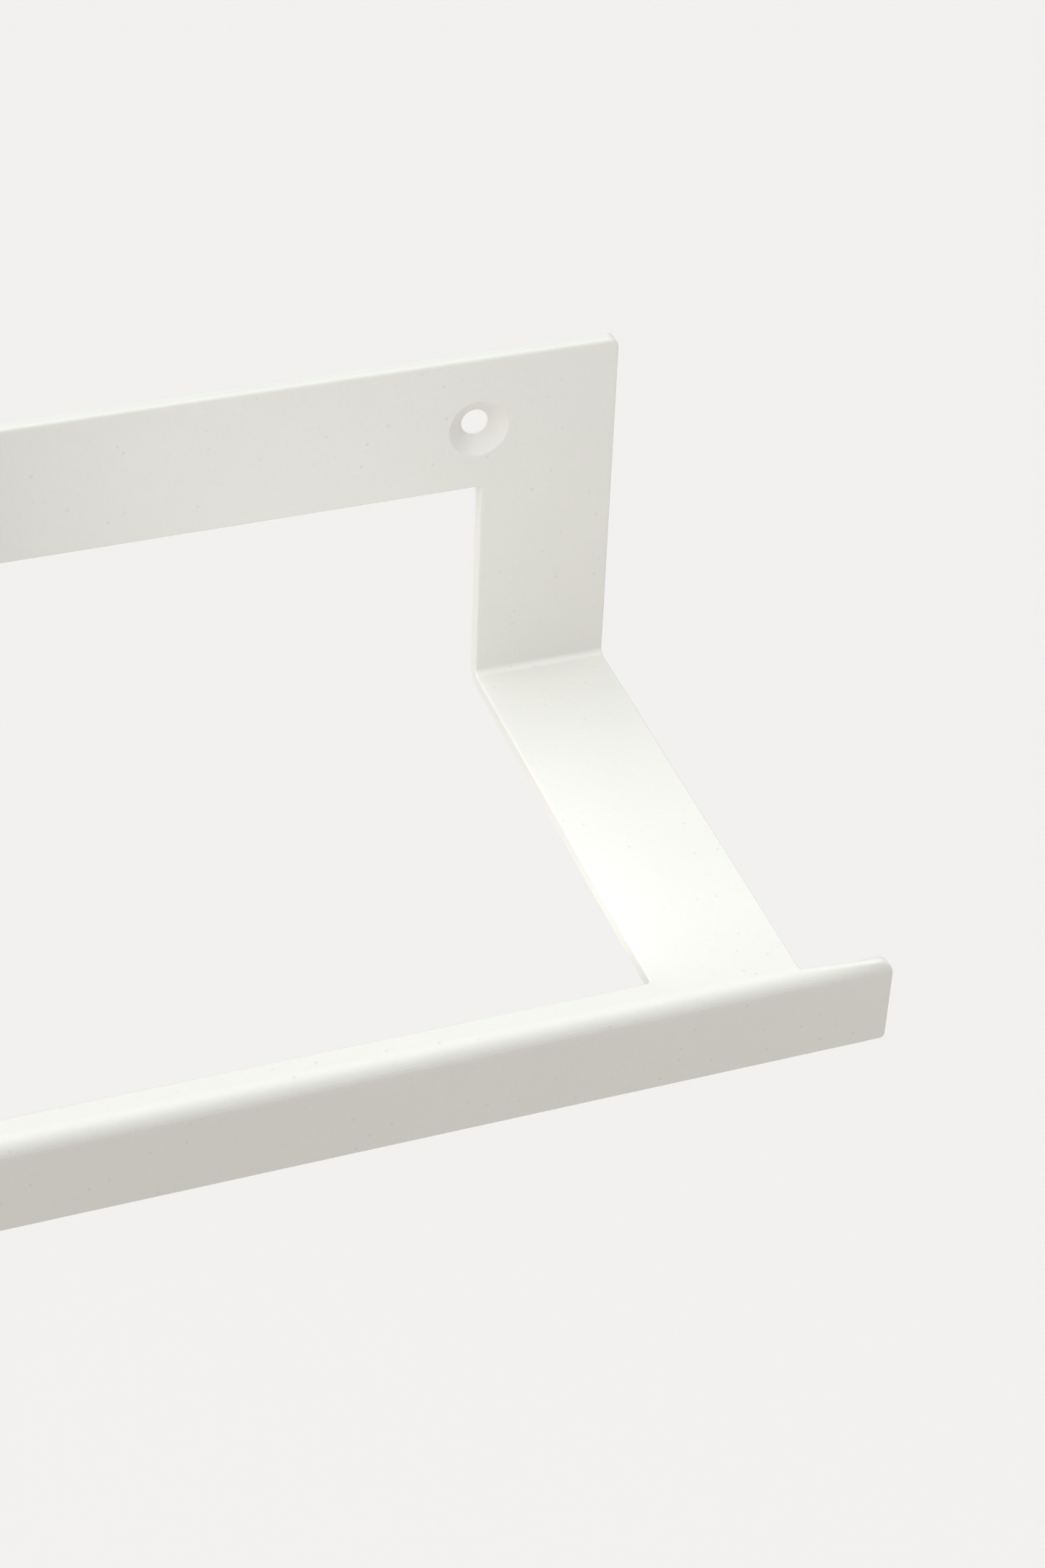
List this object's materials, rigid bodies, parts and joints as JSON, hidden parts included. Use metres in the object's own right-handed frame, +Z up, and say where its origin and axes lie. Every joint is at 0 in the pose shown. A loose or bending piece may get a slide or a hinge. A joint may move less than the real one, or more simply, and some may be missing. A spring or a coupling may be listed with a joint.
{
  "type": "wall shelf with brackets",
  "caption": "Open wall shelf frame of folded white steel strip: back rail with countersunk screw holes, bent end brackets and a folded front rail with short ears.",
  "frame": {"origin": "the middle of the back rail's wall face: half-way along its length and half-way up its height", "axes": "+X along the wall to the right, +Y into the wall, +Z up; the front rail faces -Y"},
  "size_m": [0.5, 0.1012, 0.0863],
  "materials": {
    "powder_coat_white": "satin powder coat with a fine orange-peel texture"
  },
  "bodies": {
    "root": {"back_rail": "powder_coat_white", "bracket_left": "powder_coat_white", "bracket_right": "powder_coat_white", "front_rail": "powder_coat_white"}
  },
  "joints": []
}
